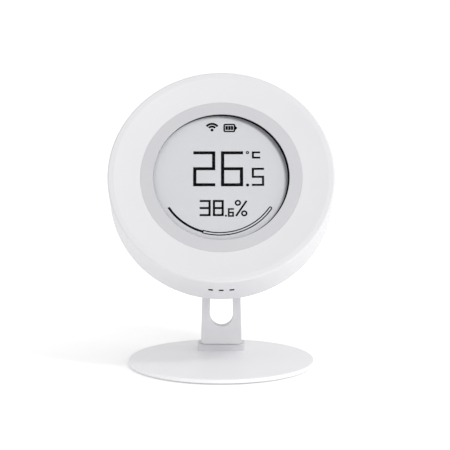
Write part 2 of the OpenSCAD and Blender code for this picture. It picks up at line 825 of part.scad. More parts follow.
module arm() {
    reach = ear_r + arm_t + over;
    color("whitesmoke") difference() {
        union() {
            difference() {
                union() {
                    upright([arm_front, arm_back]) arm_outline();
                    crossbar(arm_y, pivot_z, span(0, arm_top_w / 2), ear_r);
                }
                upright([arm_y - reach, arm_y + reach]) slot_outline();
            }
            // Knuckle behind the foot, with the heel that stops the lean
            crossbar(lean_y, lean_z, span(0, lean_knuckle_w / 2), lean_knuckle_r);
            translate([-lean_knuckle_w / 2, arm_back - sink, lean_z - lean_knuckle_r])
                cube([lean_knuckle_w, lean_y - arm_back + sink, 2 * lean_knuckle_r]);
            translate([-lean_knuckle_w / 2, lean_y, lean_z - heel_low])
                cube([lean_knuckle_w, heel_len, heel_low]);
        }
        crossbar(arm_y, pivot_z, span(0, arm_top_w / 2 + over), tilt_pin_d / 2 + hold_gap);
        crossbar(lean_y, lean_z, span(0, lean_knuckle_w / 2 + over), lean_pin_d / 2 + run_gap);
    }
}

module tilt_pin() {
    color("silver") crossbar(arm_y, pivot_z, span(0, arm_top_w / 2 - fit_gap), tilt_pin_d / 2);
}

module tilt_washers() {
    middle = (ear_x + lug_w / 2) / 2;
    color("darkgray") ring_pair(arm_y, pivot_z, span(middle, washer_t / 2),
                                tilt_pin_d / 2 + run_gap, washer_d / 2);
}

module foot_pad() {
    color("gray") cylinder(h = pad_t, r = base_d / 2 - pad_inset);
}

module base_plate() {
    base_r = base_d / 2;
    edge = base_edge_r;
    color("whitesmoke") difference() {
        translate([0, 0, pad_t]) rotate_extrude() {
            square([base_r - edge, base_t]);
            translate([0, edge]) square([base_r, base_t - 2 * edge]);
            for (z = [edge, base_t - edge]) translate([base_r - edge, z]) circle(edge);
        }
        for (at = block_screw_at) translate(at) countersunk(fit_gap);
    }
}

module hinge_block() {
    ear_out = lean_ear_x + lean_ear_w;
    color("whitesmoke") difference() {
        union() {
            translate([0, 0, base_top]) linear_extrude(block_h)
                round_rect([-block_w / 2, block_front], [block_w / 2, block_back], block_corner_r);
            for (side = [0, 1]) mirror([side, 0, 0]) {
                crossbar(lean_y, lean_z, [lean_ear_x, ear_out], lean_ear_r);
                translate([lean_ear_x, lean_y - lean_ear_r, block_top - sink])
                    cube([lean_ear_w, 2 * lean_ear_r, lean_rise + sink]);
            }
        }
        crossbar(lean_y, lean_z, span(0, ear_out + over), lean_pin_d / 2 + hold_gap);
        for (at = block_screw_at) translate(at) countersunk(hold_gap);
    }
}

module block_screws() {
    color("silver") for (at = block_screw_at) translate(at) countersunk(0);
}

module lean_pin() {
    half = lean_ear_x + lean_ear_w - fit_gap;
    color("silver") crossbar(lean_y, lean_z, span(0, half), lean_pin_d / 2);
}

module lean_washers() {
    middle = (lean_ear_x + lean_knuckle_w / 2) / 2;
    color("darkgray") ring_pair(lean_y, lean_z, span(middle, washer_t / 2),
                                lean_pin_d / 2 + run_gap, washer_d / 2);
}

foot_pad();
base_plate();
hinge_block();
block_screws();
lean_pin();
lean_washers();
arm();
tilt_pin();
tilt_washers();
hinge_lug();
lug_screws();
front_shell();
bezel_ring();
display_window();
lcd_panel();
reflector_sheet();
display_frame();
contact_strips();
main_board();
wireless_module();
control_chip();
driver_chip();
sensor_chip();
sensor_gasket();
push_switch();
board_screws();
rear_cover();
cover_screws();
bridge_contact();
terminal_contacts();
upper_cell();
lower_cell();
battery_door();
rear_button();
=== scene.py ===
# %% [markdown]
# # A temperature and humidity sensor on a tilting stand
#
# The object is a round white drum with a grey bezel and a liquid crystal display, on a forked arm
# and a thin disc base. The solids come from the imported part. This lesson lays finer surfaces over
# the ones that show, gives every surface a finish, and lights the whole like the studio picture
# that it was measured from.

import bmesh
import bpy
import numpy as np
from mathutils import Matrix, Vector


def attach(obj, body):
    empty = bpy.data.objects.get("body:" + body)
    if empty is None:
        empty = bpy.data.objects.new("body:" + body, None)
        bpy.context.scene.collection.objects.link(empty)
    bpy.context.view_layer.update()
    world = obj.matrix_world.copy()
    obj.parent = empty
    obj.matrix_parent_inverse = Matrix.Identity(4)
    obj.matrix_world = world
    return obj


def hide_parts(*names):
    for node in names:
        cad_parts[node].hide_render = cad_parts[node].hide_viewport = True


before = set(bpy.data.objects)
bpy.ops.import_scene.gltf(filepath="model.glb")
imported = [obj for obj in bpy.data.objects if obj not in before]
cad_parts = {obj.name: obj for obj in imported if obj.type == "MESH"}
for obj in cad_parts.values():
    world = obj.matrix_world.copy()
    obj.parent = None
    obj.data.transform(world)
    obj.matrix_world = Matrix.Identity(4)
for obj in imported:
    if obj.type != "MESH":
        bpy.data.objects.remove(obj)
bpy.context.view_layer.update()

# %% [markdown]
# ## Two ways of measuring
#
# The base and the arm are measured from the table: x to the right, y to the back, z up. The head
# leans back, so its pieces are easier to describe on the face itself: x to the right, p up the
# face, and s, the depth behind the plane of the lip. One function turns the second kind into the
# first, so each piece can be written the way a maker would draw it. All numbers are millimetres,
# and the last step makes them metres.

# %% Places on the table and on the face
MM = 0.001
FACE_LEAN = np.radians(30)
FACE_CENTRE = np.array([0.0, -2.5189, 68.2])
FACE_UP = np.array([0.0, np.sin(FACE_LEAN), np.cos(FACE_LEAN)])
FACE_OUT = np.array([0.0, -np.cos(FACE_LEAN), np.sin(FACE_LEAN)])


def on_table(x, y, z):
    """Metres from millimetres, with nothing turned."""
    return np.stack(np.broadcast_arrays(x, y, z), -1) * MM


def on_face(x, p, s):
    """The face's centre plus x to the right plus p up the face minus s along the way out, in
    metres."""
    x, p, s = (np.asarray(v, float)[..., None] for v in (x, p, s))
    return (FACE_CENTRE + x * np.array([1.0, 0.0, 0.0]) + p * FACE_UP - s * FACE_OUT) * MM


def before_stand(x, z, y):
    """A front view of the stand: x to the right, z up, and the third number to the back."""
    return on_table(x, y, z)


def beside_stand(y, z, x):
    """A side view of the stand: y to the back, z up, and the third number across."""
    return on_table(x, y, z)


def beside_head(s, p, x):
    """A side view of the head: depth s, height p up the face, and the third number across."""
    return on_face(x, p, s)


def under_head(x, s, p):
    """A view of the head from below: x to the right, depth s, and the third number up the face."""
    return on_face(x, p, s)


print("the face's centre is", FACE_CENTRE[2], "mm above the table")

# %% [markdown]
# ## Outlines with round corners
#
# Moulded pieces have no sharp corners. An outline starts as a few corner points, and each corner is
# swapped for an arc that touches both of its sides. The same function serves for the section of the
# drum, for the fork of the arm and for the battery door.

# %% Round an outline's corners and move it sideways


def unit(vectors):
    """Each vector divided by its own length."""
    return vectors / np.maximum(np.linalg.norm(vectors, axis=-1, keepdims=True), 1e-12)


def rounded(corners, radii, steps=6):
    """Corners turned into arcs. An arc's centre lies on the corner's bisector, radius / sin(half
    angle) away, and its points are the two end arms mixed by sin((1-k)t) / sin(t) and sin(kt) /
    sin(t), where t is the turn."""
    corners = np.asarray(corners, float)
    radii = np.broadcast_to(np.asarray(radii, float), len(corners))[:, None]
    back, ahead = unit(np.roll(corners, 1, 0) - corners), unit(np.roll(corners, -1, 0) - corners)
    half = np.arccos(np.clip((back * ahead).sum(1), -1, 1))[:, None] / 2
    centre = corners + unit(back + ahead) * radii / np.sin(half)
    reach = radii / np.tan(half)
    first, last = corners + back * reach - centre, corners + ahead * reach - centre
    turn = np.maximum(np.pi - 2 * half, 1e-6)
    k = np.linspace(0, 1, steps + 1)[None]
    before, after = np.sin((1 - k) * turn) / np.sin(turn), np.sin(k * turn) / np.sin(turn)
    path = centre[:, None] + before[..., None] * first[:, None] + after[..., None] * last[:, None]
    path = path.reshape(-1, 2)
    return path[np.linalg.norm(path - np.roll(path, 1, 0), axis=1) > 1e-6]


def box_outline(low, high, radius, steps=10):
    """Rectangle between two corners, counter-clockwise, with round corners."""
    corners = [(low[0], low[1]), (high[0], low[1]), (high[0], high[1]), (low[0], high[1])]
    return rounded(corners, radius, steps)


def bend(centre, radius, start, end, count=33):
    """Points of an arc about a centre between two angles in degrees."""
    angle = np.radians(np.linspace(start, end, count))
    return np.asarray(centre) + radius * np.stack([np.cos(angle), np.sin(angle)], 1)


def ring_outline(centre, radius, count=48):
    """Counter-clockwise circle."""
    return bend(centre, radius, 0, 360, count + 1)[:-1]


def sideways(path, closed=True):
    """How each point moves when the path shifts right by one: along the mean of its two sides'
    normals, lengthened by 1 / cos(half the turn) so that both sides shift by the same amount."""
    step = unit(np.roll(path, -1, 0) - path)
    normal = np.stack([step[:, 1], -step[:, 0]], 1)
    before = np.roll(normal, 1, 0)
    if not closed:
        normal[-1], before[0] = before[-1], normal[0]
    mean = unit(normal + before)
    return mean / np.maximum((mean * normal).sum(1, keepdims=True), 0.3)


print("a square of 4 with corners of 1 has", len(box_outline((0, 0), (4, 4), 1)), "points")

# %% [markdown]
# ## Three ways to make a surface
#
# Nearly everything here is one of three surfaces. A section spun about an axis gives the drum, the
# bezel and the base. An outline carried up through a few levels, drawn in a little at the ends,
# gives plates and blocks with round edges. A small rectangle carried along a path gives the
# display's ink. Each is worked out as one array of points on a grid, and the grid's squares become
# the faces.

# %% Grids, spins and stacks


def quads(rows, columns, wrap_rows, wrap_columns):
    """Corner numbers of a grid's squares. A wrapped side joins its last line to its first."""
    down, along = np.arange(rows - (not wrap_rows)), np.arange(columns - (not wrap_columns))
    r, c = (index.ravel() for index in np.meshgrid(down, along, indexing="ij"))
    up, on = (r + 1) % rows, (c + 1) % columns
    corners = [r * columns + c, r * columns + on, up * columns + on, up * columns + c]
    return np.stack(corners, 1).tolist()


def spin(section, place, centre=(0, 0), turns=240):
    """Surface of revolution: the section's point (r, s) goes to (r cos a, r sin a, s) for angles a
    all round."""
    angle = np.linspace(0, 2 * np.pi, turns, endpoint=False)[:, None]
    r, s = section[:, 0], section[:, 1]
    points = place(centre[0] + r * np.cos(angle), centre[1] + r * np.sin(angle), s + 0 * angle)
    return points.reshape(-1, 3), quads(turns, len(section), True, True)


def stack(outline, levels, place):
    """The outline shifted sideways and lifted, level by level, with its first and last loops
    filled."""
    levels = np.asarray(levels, float)
    flat = outline[None] + sideways(outline)[None] * levels[:, 1, None, None]
    points = place(flat[..., 0], flat[..., 1], levels[:, 0, None])
    count, last = len(outline), len(levels) - 1
    ends = [list(range(count))[::-1], list(range(last * count, (last + 1) * count))]
    return points.reshape(-1, 3), quads(last + 1, count, False, True) + ends


def straight(low, high):
    """Levels of a plain cut or post: the same outline at both ends."""
    return [(low, 0), (high, 0)]


def round_edges(low, high, low_r, high_r, steps=5):
    """Levels of a plate: a quarter circle in from the low end, the straight side, and a quarter
    circle to the high end. The height is r(1 - cos t) and the shift is -r(1 - sin t)."""
    t = np.linspace(0, np.pi / 2, steps + 1)
    rise = np.stack([low + low_r * (1 - np.cos(t)), low_r * (np.sin(t) - 1)], 1)
    fall = np.stack([high - high_r * (1 - np.cos(t)), high_r * (np.sin(t) - 1)], 1)[::-1]
    return np.concatenate([rise[-1:] if low_r == 0 else rise, fall[:1] if high_r == 0 else fall])


def flared(low, high, rim_r, over=1.0, steps=5):
    """Levels of a cut: straight up to the rim, then out along a quarter circle, so that the rim
    comes out round."""
    t = np.linspace(0, np.pi / 2, steps + 1)
    rim = np.stack([high - rim_r + rim_r * np.sin(t), rim_r * (1 - np.cos(t))], 1)
    return np.concatenate([[[low, 0]], rim, [[high + over, rim_r]]])


print("a grid of 3 by 4 points has", len(quads(3, 4, False, False)), "squares")

# %% [markdown]
# ## From points to pieces
#
# A surface is put into a mesh, points that meet are joined, and the faces are turned outwards.
# Holes and unions are made with Blender's Boolean modifier, and its result is kept as the mesh.
# Smooth shading with sharp edges above an angle, and normals weighted by area, keep flat faces flat
# right up to their round edges.

# %% Make, cut and finish a piece
SHARP_ANGLE = np.radians(35)


def tidy(mesh):
    """Joins points under a micrometre apart, drops faces of no area and turns the rest outwards."""
    work = bmesh.new()
    work.from_mesh(mesh)
    bmesh.ops.remove_doubles(work, verts=work.verts, dist=1e-6)
    bmesh.ops.dissolve_degenerate(work, edges=work.edges, dist=1e-7)
    bmesh.ops.recalc_face_normals(work, faces=work.faces)
    work.to_mesh(mesh)
    work.free()


def solid(name, *shells):
    """One object from shells, each a pair of points and faces."""
    starts = np.cumsum([0] + [len(points) for points, _ in shells])
    faces = [
        [int(start + corner) for corner in face]
        for start, (_, part) in zip(starts, shells) for face in part]
    mesh = bpy.data.meshes.new(name)
    mesh.from_pydata(np.concatenate([points for points, _ in shells]), [], faces)
    tidy(mesh)
    made = bpy.data.objects.new(name, mesh)
    bpy.context.scene.collection.objects.link(made)
    return made


def combine(target, others, operation):
    """Cuts other objects out of a target, or joins them to it, and keeps the result as the target's
    mesh."""
    for other in others:
        step = target.modifiers.new(operation, "BOOLEAN")
        step.operation, step.solver, step.object = operation, "EXACT", other
    bpy.context.view_layer.update()
    shape = target.evaluated_get(bpy.context.evaluated_depsgraph_get())
    mesh = bpy.data.meshes.new_from_object(shape)
    target.modifiers.clear()
    target.data = mesh
    mesh.name = target.name
    for other in others:
        bpy.data.meshes.remove(other.data)
    tidy(mesh)


def finish_piece(piece, body, slot, finish, *nodes):
    """Shades a piece, gives it its finish, hangs it on the empty of its body and hides the solids
    that it stands for."""
    piece.data.shade_smooth()
    piece.data.set_sharp_from_angle(angle=SHARP_ANGLE)
    weighted = piece.modifiers.new("flat_faces_stay_flat", "WEIGHTED_NORMAL")
    weighted.keep_sharp = True
    piece.data.materials.clear()
    piece.data.materials.append(finish)
    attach(piece, body)
    if nodes:
        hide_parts(*nodes)
    print(piece.name, "has", len(piece.data.polygons), "faces and rides on", body)


print("edges of more than", round(np.degrees(SHARP_ANGLE)), "degrees stay sharp")

# %% [markdown]
# ## Finishes
#
# Every finish is a small node tree. Colours are written as the hex values that a screen shows, and
# one function makes them linear. The size of a pattern is written in millimetres. A value that is
# the same all over is set on the shader itself.

# %% Colours, sizes and nodes

# Sockets of a Mix node that mixes colours, by number, since its names are shared by several kinds
MIX_FROM, MIX_TO, MIX_COLOUR = 6, 7, 2


def shade(code):
    """Linear colour of a hex value: c / 12.92 in the dark, ((c + 0.055) / 1.055) ** 2.4 above."""
    c = np.array([int(code[i : i + 2], 16) for i in (1, 3, 5)]) / 255
    return (*np.where(c <= 0.04045, c / 12.92, ((c + 0.055) / 1.055) ** 2.4), 1.0)


def per_mm(size):
    """Texture scale at which a pattern's features are about this many millimetres across."""
    return 1 / (size * MM)


def node(tree, kind, values=(), links=(), **settings):
    """Adds a node with its settings, its socket values and links from (node, output) pairs."""
    made = tree.nodes.new(kind)
    for name, value in settings.items():
        setattr(made, name, value)
    for socket, value in dict(values).items():
        made.inputs[socket].default_value = value
    for socket, (source, output) in dict(links).items():
        tree.links.new(source.outputs[output], made.inputs[socket])
    return made


print("mid grey is", round(shade("#808080")[0], 3), "when linear")

# %% [markdown]
# The finishes share a few steps: a noise read from the place on the piece, a mix of two tones, a
# value stretched over a range, one that climbs with distance, and the shader at the end.

# %% Steps that the finishes share


def finish_tree(name):
    """New material with an empty tree, and the output that gives the place on the piece."""
    material = bpy.data.materials.new(name)
    material.use_nodes = True
    material.node_tree.nodes.clear()
    return material, material.node_tree, (node(material.node_tree, "ShaderNodeTexCoord"), "Object")


def noise(tree, place, size_mm, detail):
    """Soft noise with features of a size in millimetres."""
    values = {"Scale": per_mm(size_mm), "Detail": detail}
    return node(tree, "ShaderNodeTexNoise", values, {"Vector": place}), "Fac"


def two_tone(tree, amount, deep, pale):
    """A colour between two hex values, by an amount from another node."""
    values = {MIX_FROM: shade(deep), MIX_TO: shade(pale)}
    return node(tree, "ShaderNodeMix", values, {0: amount}, data_type="RGBA"), MIX_COLOUR


def spread(tree, amount, low, high):
    """An amount between 0 and 1 stretched over the range from low to high."""
    values = {"To Min": low, "To Max": high}
    return node(tree, "ShaderNodeMapRange", values, {"Value": amount}), "Result"


def climb(tree, distance, near_mm, far_mm, full=1.0):
    """A value that climbs smoothly from nothing at one distance to its full height at another."""
    values = {"From Min": near_mm * MM, "From Max": far_mm * MM, "To Max": full}
    made = node(
        tree, "ShaderNodeMapRange", values, {"Value": distance}, interpolation_type="SMOOTHSTEP")
    return made, "Result"


def relief(tree, height, strength, depth_mm):
    """A bump of a depth in millimetres."""
    values = {"Strength": strength, "Distance": depth_mm * MM}
    return node(tree, "ShaderNodeBump", values, {"Height": height}), "Normal"


def surfaced(material, values, links):
    """The shader, with its fixed values and its links, and the output that end a tree."""
    surface = node(material.node_tree, "ShaderNodeBsdfPrincipled", values, links)
    node(material.node_tree, "ShaderNodeOutputMaterial", links={"Surface": (surface, "BSDF")})
    return material


print("a pattern of 2 mm has a scale of", per_mm(2))

# %% [markdown]
# Most of the object is moulded ABS: the drum, the arm, the rear cover and the bezel. The mould is
# spark eroded, which leaves a very fine grain that takes the mirror off the surface and gives a
# soft sheen. The melt also leaves wide, faint clouds of tone. The grain is about 0.1 mm on the real
# thing, too fine to show, so it is drawn coarser.

# %% Moulded plastic
CLOUD_MM = 14


def moulded(name, pale, deep, rough, grain_mm=0.45, grain_depth_mm=0.006, **sockets):
    """Moulded plastic: clouds of tone from one noise, and grain from a finer one in the roughness
    and the bump."""
    material, tree, place = finish_tree(name)
    cloud, grain = noise(tree, place, CLOUD_MM, 3.0), noise(tree, place, grain_mm, 2.0)
    return surfaced(material, sockets, {
        "Base Color": two_tone(tree, cloud, deep, pale),
        "Roughness": spread(tree, grain, rough - 0.06, rough + 0.06),
        "Normal": relief(tree, grain, 0.6, grain_depth_mm)})


white_abs = moulded("white_moulded_abs", "#DCDCDE", "#D8D8DB", 0.46, IOR=1.53)
grey_abs = moulded("grey_moulded_abs", "#C7C7CA", "#C3C3C7", 0.42, IOR=1.53)
pad_rubber = moulded("pale_foot_rubber", "#D2D2D5", "#C9C9CD", 0.78, 0.8, 0.03, IOR=1.5)
# Black rubber whose darkness is painted shade for the inside of the vents
vent_shade_rubber = moulded("black_vent_shade_rubber", "#19191B", "#111113", 0.75, 0.3, 0.01, IOR=1.5)
print("plastics:", white_abs.name, grey_abs.name, pad_rubber.name, vent_shade_rubber.name)

# %% [markdown]
# The base is a steel disc with a semi-gloss coat of paint. Sprayed paint dries with a faint orange
# peel, waves of a millimetre or so that blur what the disc mirrors: the foot of the arm shows in it
# as a soft smear.

# %% Painted steel
PEEL_MM, PEEL_DEPTH_MM, PAINT_CLOUD_MM = 1.2, 0.004, 20


def painted_steel(name, pale, deep, rough):
    """Sprayed paint: slow clouds of tone, orange peel as a bump, and a thin clear coat."""
    material, tree, place = finish_tree(name)
    cloud, peel = noise(tree, place, PAINT_CLOUD_MM, 2.0), noise(tree, place, PEEL_MM, 1.0)
    return surfaced(material, {"IOR": 1.5, "Coat Weight": 0.25, "Coat Roughness": 0.18}, {
        "Base Color": two_tone(tree, cloud, deep, pale),
        "Roughness": spread(tree, cloud, rough - 0.04, rough + 0.05),
        "Normal": relief(tree, peel, 0.5, PEEL_DEPTH_MM)})


base_paint = painted_steel("white_painted_steel", "#F5F5F7", "#F1F1F4", 0.34)
print("paint:", base_paint.name)

# %% [markdown]
# A reflective display has no lamp. Its back is a pearly film with fine flakes, seen through two
# polarisers, so it is a pale grey with a faint sparkle. The segments are where the liquid crystal
# turns the light away: nearly black, with a slight unevenness. The film lies behind the glass, so
# the bezel and the border shade it at the side that the light comes from. Lamps as soft as these
# leave that shade too faint, so it is painted into the film's colour: a painted shadow, a darker
# crescent at the upper right.
# The window over it all is clear acrylic, which shows only by its gloss.

# %% Display finishes
PANEL_S, FILM_CLOUD_MM, WIPE_MM = 2.56, 16, 6
# SHADE_AT, SHADE_IN and SHADE_OUT place the painted shadow, a darker crescent at the film's upper
# right
SHADE_AT, SHADE_IN, SHADE_OUT = on_face(-1.65, -0.8, PANEL_S), 23.5, 24.7


def display_film(name, pale, deep, rim, flake_mm, rough, **sockets):
    """Pearly film: flakes from a cell pattern shift the tone a little, and wide clouds lie under
    them. A painted shadow: the tone goes over to the rim colour, the shadow's tone, between two
    distances from a point a little below and left of the middle, darkening a crescent at the upper
    right."""
    material, tree, place = finish_tree(name)
    flake = node(tree, "ShaderNodeTexVoronoi", {"Scale": per_mm(flake_mm)}, {"Vector": place})
    sparkle = spread(tree, (flake, "Color"), -0.25, 0.25)
    parts = {0: noise(tree, place, FILM_CLOUD_MM, 2.0), 1: sparkle}
    level = node(tree, "ShaderNodeMath", links=parts, operation="ADD", use_clamp=True), "Value"
    middle = {1: tuple(SHADE_AT)}
    away = node(tree, "ShaderNodeVectorMath", middle, {0: place}, operation="DISTANCE")
    # Painted shadow: how far into the darker crescent a point lies
    painted_shadow = climb(tree, (away, "Value"), SHADE_IN, SHADE_OUT)
    tones = {0: painted_shadow, MIX_FROM: two_tone(tree, level, deep, pale)}
    film = node(tree, "ShaderNodeMix", {MIX_TO: shade(rim)}, tones, data_type="RGBA")
    return surfaced(material, sockets, {
        "Base Color": (film, MIX_COLOUR),
        "Roughness": spread(tree, level, rough - 0.05, rough + 0.05)})


def clear_acrylic(name, tint, veil, rough):
    """Clear sheet: a thin veil of gloss, with wipe marks that shift the roughness a little."""
    material, tree, place = finish_tree(name)
    wipe = noise(tree, place, WIPE_MM, 4.0)
    return surfaced(
        material, {"Base Color": shade(tint), "IOR": 1.49, "Alpha": veil},
        {"Roughness": spread(tree, wipe, rough - 0.03, rough + 0.05)})


# The third colour, rim, is the painted shadow's tone; on the ink it equals the dark tone and
# changes nothing
panel_film = display_film(
    "pearly_display_film", "#D7D8DB", "#D2D3D7", "#85868A", 0.35, 0.5, IOR=1.3)
segment_ink = display_film(
    "dark_display_segment", "#121214", "#08080A", "#08080A", 0.5, 0.4, IOR=1.05)
window_clear = clear_acrylic("clear_acrylic_window", "#3A3C3E", 0.03, 0.1)
print("display:", panel_film.name, segment_ink.name, window_clear.name)

# %% [markdown]
# ## The drum
#
# The front shell is a thick-walled drum. Its section is drawn once, with the flat lip, the shallow
# dish that runs down to the bezel, and the rear edge with its small radius and the collar that
# takes the cover, and is then spun about the head's axis. Three vents are cut through the wall
# underneath, where the sensor chip sits.

# %% Front shell
HEAD_R, WALL_R, COLLAR_R, SEAT_R = 40.0, 38.0, 35.6, 28.5
SHELL_S, COLLAR_S, FACE_BACK_S, BEZEL_S = 18.8, 15.4, 2.6, 1.0
DISH_ARC_R = 113.0
LIP_IN, DISH_IN = np.array([37.8, 0.0]), np.array([SEAT_R, BEZEL_S])


def dish_section(count=9):
    """Points of the arc of radius R from the bezel to the lip, bowed away from the viewer: the
    chord, lowered by (chord / 2) squared less (distance from its middle) squared, over 2R."""
    k = np.linspace(0, 1, count)[:, None]
    chord = LIP_IN - DISH_IN
    length = np.linalg.norm(chord)
    sag = ((length / 2) ** 2 - ((k - 0.5) * length) ** 2) / (2 * DISH_ARC_R)
    return DISH_IN + k * chord + sag * np.array([-chord[1], chord[0]]) / length


dish = dish_section()
shell_corners = np.concatenate([dish, [
    (HEAD_R, 0.0), (HEAD_R, SHELL_S), (COLLAR_R, SHELL_S), (COLLAR_R, COLLAR_S), (WALL_R, COLLAR_S),
    (WALL_R, FACE_BACK_S), (SEAT_R, FACE_BACK_S)]])
shell_radii = [0.05] + [0] * (len(dish) - 2) + [0.35, 0.7, 1.6, 0.25, 0.2, 0.5, 0.8, 0.05]
shell_section = rounded(shell_corners, shell_radii, 8)
front_shell = solid("front_shell_dressed", spin(shell_section, on_face, turns=300))
print(front_shell.name, "is spun from", len(shell_section), "points")

# %% Vents
VENT_W, VENT_LEN, VENT_PITCH, VENT_S, VENT_CORNER = 1.75, 1.6, 3.7, 8.1, 0.4
VENT_OUT, VENT_IN = -42.0, -37.0
VENT_TURNS = [i * VENT_PITCH / HEAD_R for i in (-1, 0, 1)]


def vent_cut(turn, inset=0.0, low=VENT_OUT, high=VENT_IN):
    """A slot with round corners through the wall, turned about the head's axis from straight
    down."""
    half_w, half_len = VENT_W / 2 - inset, VENT_LEN / 2 - inset
    near, far = (-half_w, VENT_S - half_len), (half_w, VENT_S + half_len)
    slot = box_outline(near, far, VENT_CORNER - inset)

    def turned(x, s, p):
        """A place under the head, with x and p turned about the axis."""
        cos, sin = np.cos(turn), np.sin(turn)
        return on_face(x * cos - p * sin, x * sin + p * cos, s + 0 * p)

    return solid("vent_cut", stack(slot, straight(low, high), turned))


combine(front_shell, [vent_cut(turn) for turn in VENT_TURNS], "DIFFERENCE")
finish_piece(front_shell, "head", "white_plastic", white_abs, "front_shell")

# %% [markdown]
# Behind the vents sits the sensor's gasket, a rubber frame that keeps the room's air apart from
# the warm air in the drum. A thin foot with three collars lines the vents. Gasket, foot and
# collars are drawn black as painted shade: the black stands for the shade inside the vents, so
# they look black from outside.

# %% Sensor gasket
GASKET_HALF, GASKET_IN, GASKET_LOW, GASKET_TOP, GASKET_ROOF = 5.9, 4.5, -37.4, -28.3, -29.7
GASKET_S, FOOT_S, FOOT_P = (8.55, 11.55), (6.9, 11.55), -36.8
COLLAR_FIT, COLLAR_BORE, COLLAR_TIP = 0.04, 0.22, -39.94
gasket = solid("sensor_gasket_dressed", stack(
    box_outline((-GASKET_HALF, GASKET_LOW), (GASKET_HALF, GASKET_TOP), 0.4),
    round_edges(*GASKET_S, 0.2, 0.2), on_face))
room_cut = solid("room_cut", stack(
    box_outline((-GASKET_IN, GASKET_LOW - 1), (GASKET_IN, GASKET_ROOF), 0.3),
    straight(GASKET_S[0] - 1, GASKET_S[1] + 1), on_face))
combine(gasket, [room_cut], "DIFFERENCE")
foot_plan = box_outline((-GASKET_HALF, FOOT_S[0]), (GASKET_HALF, FOOT_S[1]), 0.5)
foot = solid("gasket_foot", stack(foot_plan, straight(GASKET_LOW, FOOT_P), under_head))
# Collars of black rubber through the vents: painted shade inside them
shade_collars = [vent_cut(turn, COLLAR_FIT, COLLAR_TIP, FOOT_P - 0.1) for turn in VENT_TURNS]
combine(gasket, [foot] + shade_collars, "UNION")
bores = [vent_cut(turn, COLLAR_BORE, VENT_OUT, FOOT_P + 1) for turn in VENT_TURNS]
combine(gasket, bores, "DIFFERENCE")
finish_piece(gasket, "head", "grey_rubber", vent_shade_rubber, "sensor_gasket")

# %% [markdown]
# ## Bezel, window and panel
#
# The bezel is a grey ring that drops into the shell and holds the window a little below its own
# face. The panel sits right behind the window, with its edge hidden under the bezel.

# %% Bezel ring, window and panel
BEZEL_IN, BEZEL_R, BEZEL_FLANGE_R, BEZEL_BACK_S = 24.0, 28.48, 29.1, 3.6
WINDOW_SEAT_R, WINDOW_R, WINDOW_S, WINDOW_BACK_S = 25.3, 25.2, 1.5, 2.5
REAR_GLASS_R, PANEL_STEP_S, PANEL_BACK_S = 24.4, 3.6, 4.7
bezel_corners = [
    (BEZEL_IN, BEZEL_S), (BEZEL_R, BEZEL_S), (BEZEL_R, FACE_BACK_S), (BEZEL_FLANGE_R, FACE_BACK_S),
    (BEZEL_FLANGE_R, BEZEL_BACK_S), (WINDOW_SEAT_R, BEZEL_BACK_S), (WINDOW_SEAT_R, WINDOW_S),
    (BEZEL_IN, WINDOW_S)]
bezel_radii = [0.12, 0.05, 0.05, 0.1, 0.2, 0.2, 0.05, 0.1]
bezel = solid("bezel_ring_dressed", spin(rounded(bezel_corners, bezel_radii), on_face, turns=300))
finish_piece(bezel, "head", "grey_plastic", grey_abs, "bezel_ring")

window_corners = [
    (0.0, WINDOW_S), (WINDOW_R, WINDOW_S), (WINDOW_R, WINDOW_BACK_S), (0.0, WINDOW_BACK_S)]
window = solid(
    "display_window_dressed", spin(rounded(window_corners, [0, 0.15, 0.15, 0]), on_face, turns=200))
finish_piece(window, "head", "clear_window", window_clear, "display_window")

panel_corners = [
    (0.0, PANEL_S), (WINDOW_R, PANEL_S), (WINDOW_R, PANEL_STEP_S), (REAR_GLASS_R, PANEL_STEP_S),
    (REAR_GLASS_R, PANEL_BACK_S), (0.0, PANEL_BACK_S)]
panel_section = rounded(panel_corners, [0, 0.1, 0, 0, 0.1, 0])
panel = solid("lcd_panel_dressed", spin(panel_section, on_face, turns=200))
finish_piece(panel, "head", "display_glass", panel_film, "lcd_panel")

# %% [markdown]
# ## Figures on the display
#
# The figures are drawn with straight bars, like those of any segment display: two large digits,
# smaller ones after the point, the signs for degrees and per cent, two small signs for signal and
# charge, and a curved scale. A bar is a flat rectangle carried along a path, with mitred corners.
# The paths of a digit run between six points, three at each side.

# %% Strokes of ink
INK_S = 2.53


def stroke(path, width, closed=False):
    """A flat bar along a path on the face: four corners of a thin rectangle, carried sideways of
    each point."""
    path = np.asarray(path, float)
    side = np.array([1, 1, -1, -1])[:, None, None] * width / 2
    flat = path[None] + side * sideways(path, closed)[None]
    depth = np.array([PANEL_S, INK_S, INK_S, PANEL_S])[:, None]
    points = on_face(flat[..., 0], flat[..., 1], depth + 0 * flat[..., 0])
    count = len(path)
    faces = quads(4, count, True, closed)
    if not closed:
        starts = count * np.arange(4)
        faces += [starts.tolist(), (starts + count - 1).tolist()]
    return points.reshape(-1, 3), faces


def spot(outline):
    """A patch of ink: a closed outline filled on both faces."""
    return stack(outline, straight(INK_S, PANEL_S), on_face)


FIGURES = {
    "2": [[(0, 2), (1, 2), (1, 1), (0, 1), (0, 0), (1, 0)]],
    "3": [[(0, 2), (1, 2), (1, 0), (0, 0)], [(0, 1), (1, 1)]],
    "5": [[(1, 2), (0, 2), (0, 1), (1, 1), (1, 0), (0, 0)]],
    "6": [[(1, 2), (0, 2), (0, 0), (1, 0), (1, 1), (0, 1)]],
    "8": [[(0, 1), (0, 2), (1, 2), (1, 0), (0, 0), (0, 1), (1, 1)]],
    "C": [[(1, 2), (0, 2), (0, 0), (1, 0)]],
}


